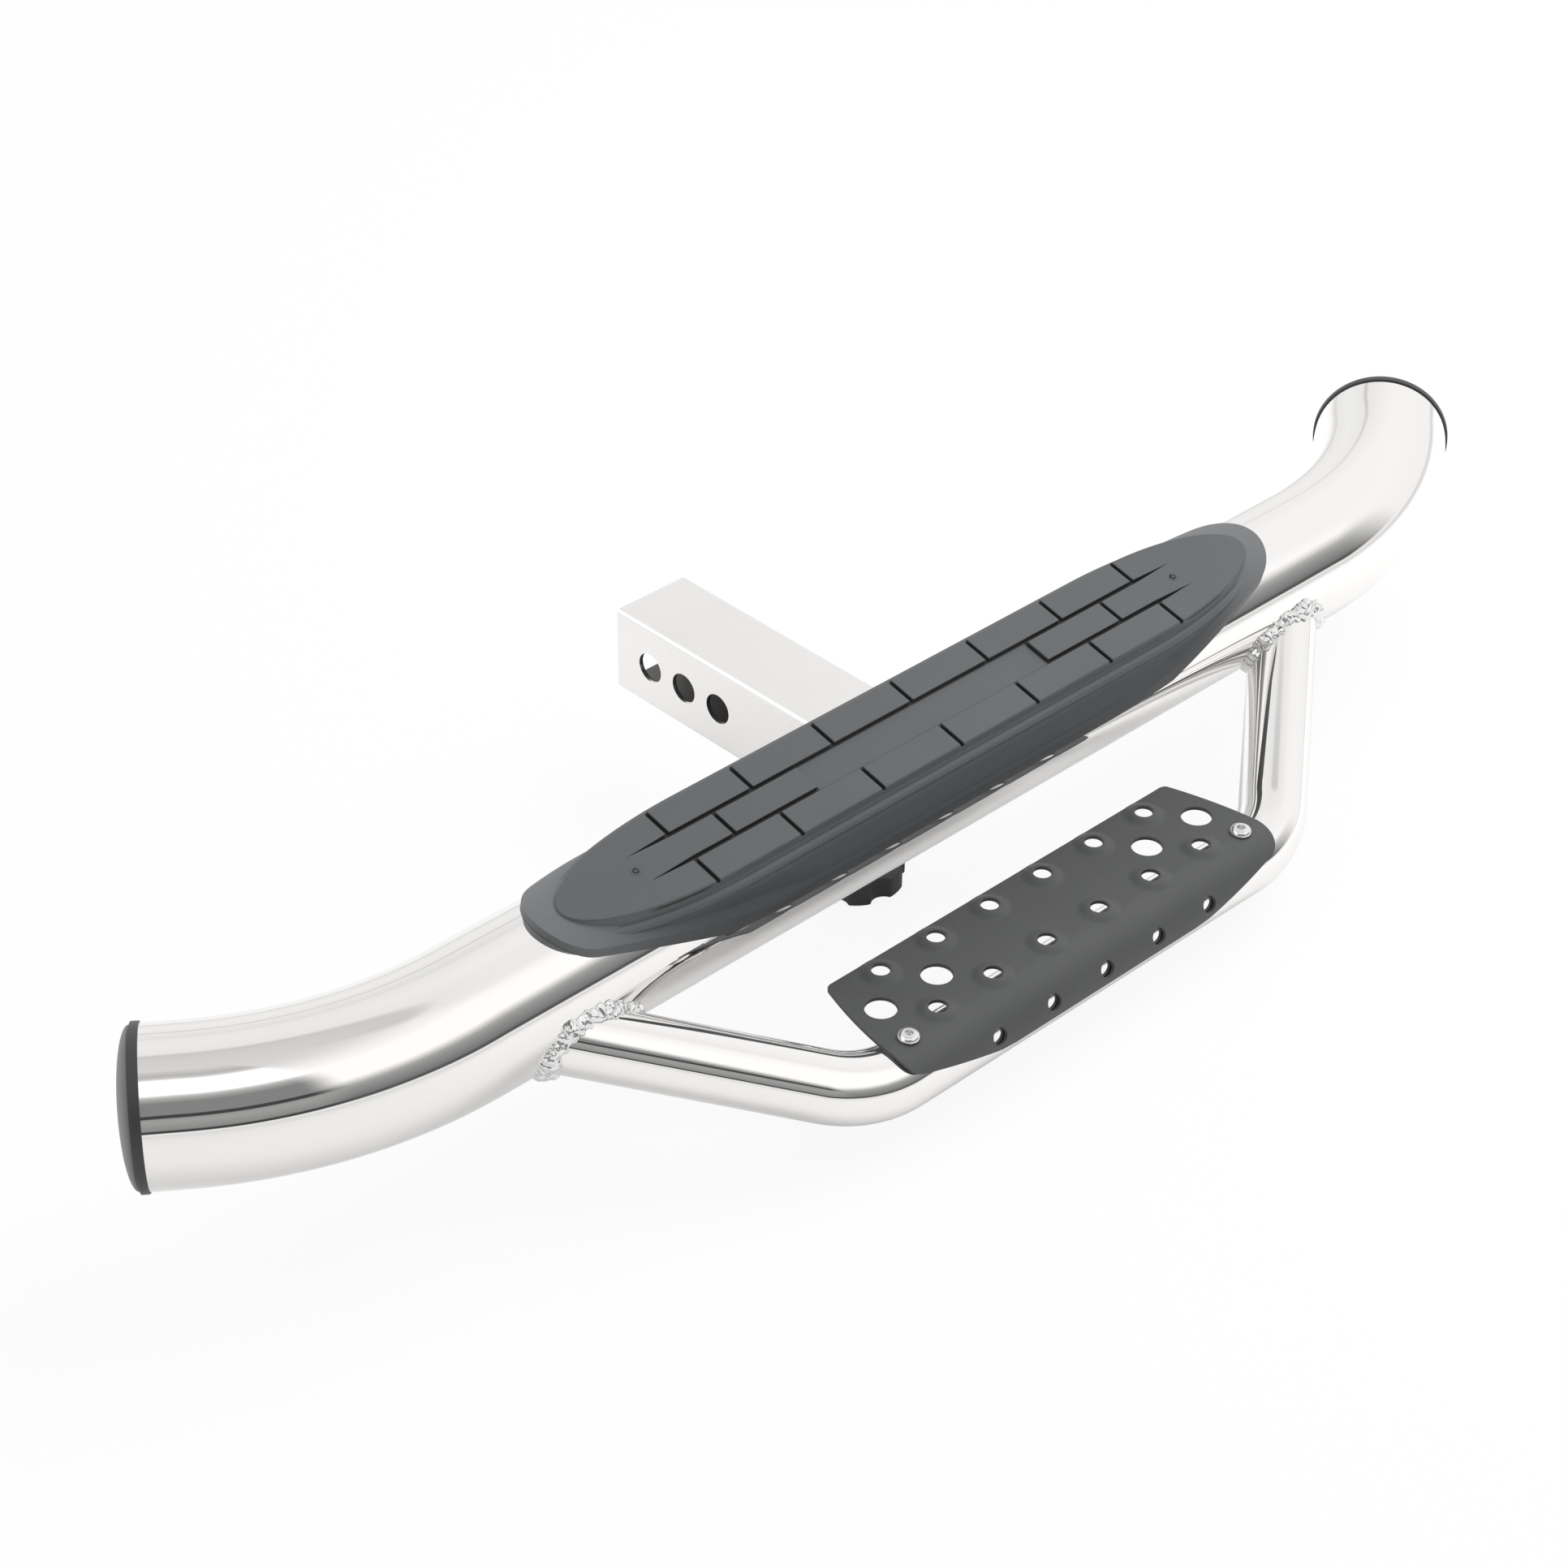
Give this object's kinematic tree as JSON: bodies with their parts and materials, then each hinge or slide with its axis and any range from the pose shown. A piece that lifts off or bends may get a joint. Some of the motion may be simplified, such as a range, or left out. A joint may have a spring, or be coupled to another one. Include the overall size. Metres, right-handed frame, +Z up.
{
  "type": "hitch receiver step",
  "caption": "Tubular step for a square hitch receiver: bent main tube with a moulded pad, a lower perforated step on a smaller loop, a square shank with pin holes and a hand-knob clamp screw.",
  "frame": {"origin": "centre of the middle hitch-pin hole, on the shank's axis", "axes": "+X along the main tube and the pin holes, +Y along the shank towards the vehicle, +Z up"},
  "size_m": [0.9332, 0.3375, 0.1392],
  "materials": {
    "polished_stainless": "mirror polished",
    "satin_stainless": "satin",
    "weld_metal": "bright rippled bead",
    "screw_steel": "bright",
    "plated_steel": "zinc plated",
    "black_plate": "fine textured black powder coat",
    "pad_rubber": "matt moulded",
    "black_moulding": "satin moulded",
    "knob_plastic": "satin moulded"
  },
  "bodies": {
    "step_frame": {"main_tube": "polished_stainless", "end_cap_left": "black_moulding", "end_cap_right": "black_moulding", "step_pad": "pad_rubber", "shank": "satin_stainless", "loop_tube": "polished_stainless", "loop_weld_left": "weld_metal", "loop_weld_right": "weld_metal", "shank_weld": "weld_metal", "step_plate": "black_plate", "plate_screw_left": "screw_steel", "plate_screw_right": "screw_steel", "rivet_nut_left": "plated_steel", "rivet_nut_right": "plated_steel", "weld_nut": "plated_steel"},
    "clamp_foot": {"clamp_foot": "plated_steel"},
    "clamp_screw": {"clamp_stud": "plated_steel", "clamp_knob": "knob_plastic"}
  },
  "joints": [
    {"name": "clamp_travel", "type": "slide", "parent": "step_frame", "child": "clamp_foot", "axis": [0, 0, 1], "range_m": [0, 0.007]},
    {"name": "knob_turn", "type": "hinge", "parent": "clamp_foot", "child": "clamp_screw", "pos_m": [0, -0.106, -0.08], "axis": [0, 0, 1], "range_deg": [0, 1440]}
  ],
  "couplings": [
    {"joint": "clamp_travel", "follows": "knob_turn", "m_per_rad": 0.00027852}
  ]
}
